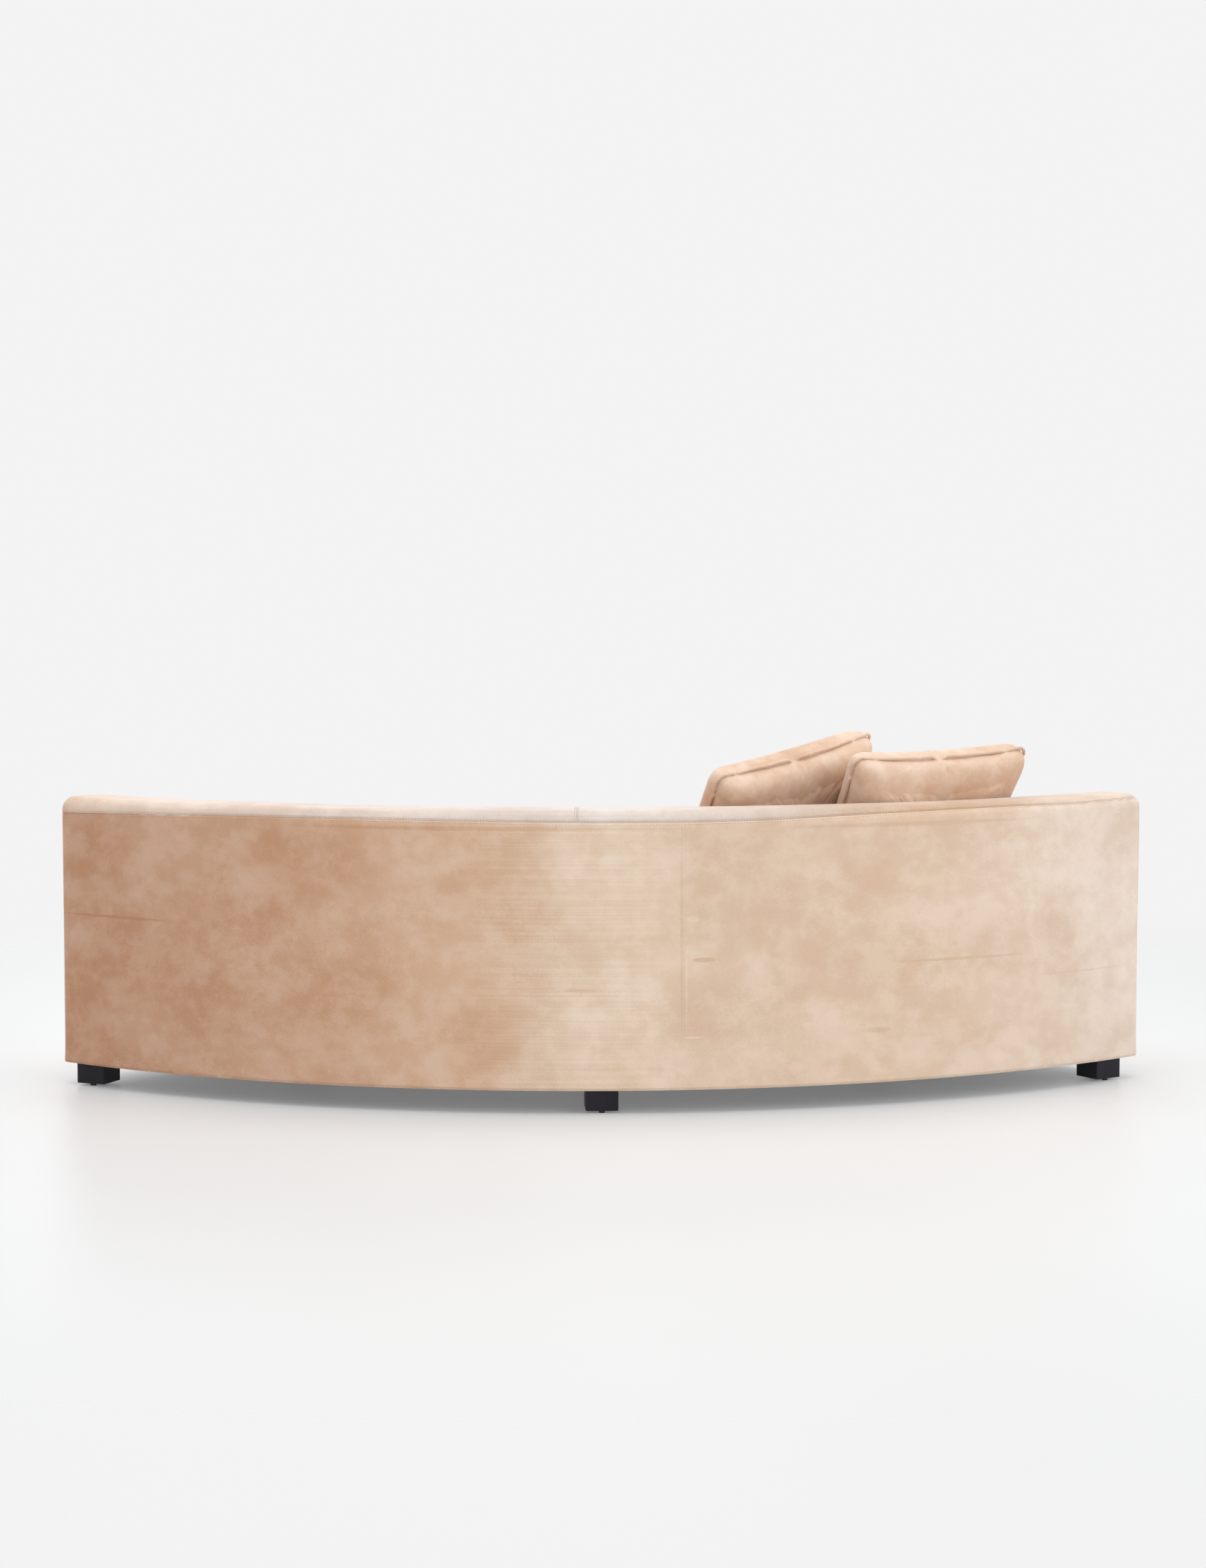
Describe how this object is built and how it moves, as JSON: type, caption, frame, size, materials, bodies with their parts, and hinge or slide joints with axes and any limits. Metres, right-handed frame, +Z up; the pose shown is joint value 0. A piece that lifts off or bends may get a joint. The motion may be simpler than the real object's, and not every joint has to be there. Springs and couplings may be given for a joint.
{
  "type": "curved sofa",
  "caption": "Curved low-back sofa with open ends, velvet cover, loose seat cushions, loose piped pillows and square block feet.",
  "frame": {"origin": "on the floor, under the middle of the bounding box", "axes": "+Z up, +X along the sofa's length to the sitter's left, the sitter faces -Y and the outer curve of the back faces +Y"},
  "size_m": [2.7866, 1.1972, 0.9157],
  "materials": {
    "velvet": "short-pile velvet in a light camel, brushed in changing directions",
    "foam": "cream upholstery foam",
    "wadding": "white polyester wadding",
    "felt": "grey needled felt",
    "webbing": "black elastic webbing",
    "dust_cloth": "black non-woven cloth",
    "plywood": "bare birch plywood",
    "hardboard": "brown hardboard",
    "spring_steel": "oil-tempered wire",
    "zinc_steel": "zinc plated",
    "clip_plastic": "moulded",
    "black_wood": "solid wood blocks, painted satin black",
    "black_plastic": "moulded",
    "zip_tape": "woven tape with coil teeth",
    "zip_metal": "die-cast, antique finish"
  },
  "bodies": {
    "frame": {"back_board": "hardboard", "back_padding": "wadding", "back_rail": "plywood", "back_webbing": "webbing", "deck_cover": "velvet", "deck_foam": "foam", "dust_cover": "dust_cloth", "end_board_left": "plywood", "end_board_right": "plywood", "end_cover_left": "velvet", "end_cover_right": "velvet", "end_padding": "wadding", "foot_back_centre": "black_wood", "foot_back_left": "black_wood", "foot_back_right": "black_wood", "foot_front_centre": "black_wood", "foot_front_left": "black_wood", "foot_front_right": "black_wood", "foot_glides": "black_plastic", "frame_screws": "zinc_steel", "front_board": "plywood", "front_border": "velvet", "front_padding": "wadding", "inside_back_cover": "velvet", "inside_back_foam": "foam", "leg_bolts": "zinc_steel", "leg_t_nuts": "zinc_steel", "outside_back_cover": "velvet", "rib_1": "plywood", "rib_2": "plywood", "rib_3": "plywood", "rib_4": "plywood", "rib_5": "plywood", "rib_6": "plywood", "seat_felt": "felt", "seat_rail_back": "plywood", "seat_rail_front": "plywood", "seat_springs": "spring_steel", "sill_back": "plywood", "sill_front": "plywood", "sill_splices": "plywood", "spring_clips": "clip_plastic", "top_band_left": "velvet", "top_band_right": "velvet", "top_foam": "foam", "top_rail": "plywood"},
    "seat_cushion_left": {"seat_cushion_cover_left": "velvet", "seat_cushion_foam_left": "foam", "seat_zip_left": "zip_tape"},
    "seat_cushion_right": {"seat_cushion_cover_right": "velvet", "seat_cushion_foam_right": "foam", "seat_zip_right": "zip_tape"},
    "zip_slider_left": {"zip_slider_left": "zip_metal"},
    "zip_slider_right": {"zip_slider_right": "zip_metal"},
    "pillow_outer": {"pillow_outer_cover": "velvet", "pillow_outer_fill": "wadding", "pillow_outer_piping": "velvet"},
    "pillow_inner": {"pillow_inner_cover": "velvet", "pillow_inner_fill": "wadding", "pillow_inner_piping": "velvet"}
  },
  "joints": [
    {"name": "seat_cushion_left_lift", "type": "slide", "parent": "frame", "child": "seat_cushion_left", "axis": [0, 0, 1], "range_m": [0, 0.35]},
    {"name": "seat_cushion_right_lift", "type": "slide", "parent": "frame", "child": "seat_cushion_right", "axis": [0, 0, 1], "range_m": [0, 0.35]},
    {"name": "pillow_outer_lift", "type": "slide", "parent": "seat_cushion_left", "child": "pillow_outer", "axis": [0, 0, 1], "range_m": [0, 0.3]},
    {"name": "pillow_inner_lift", "type": "slide", "parent": "pillow_outer", "child": "pillow_inner", "axis": [0, 0, 1], "range_m": [0, 0.3]},
    {"name": "zip_left", "type": "hinge", "parent": "seat_cushion_left", "child": "zip_slider_left", "pos_m": [0, -1.6014, 0], "axis": [0, 0, 1], "range_deg": [0, 28.4]},
    {"name": "zip_right", "type": "hinge", "parent": "seat_cushion_right", "child": "zip_slider_right", "pos_m": [0, -1.6014, 0], "axis": [0, 0, 1], "range_deg": [-28.4, 0]}
  ]
}
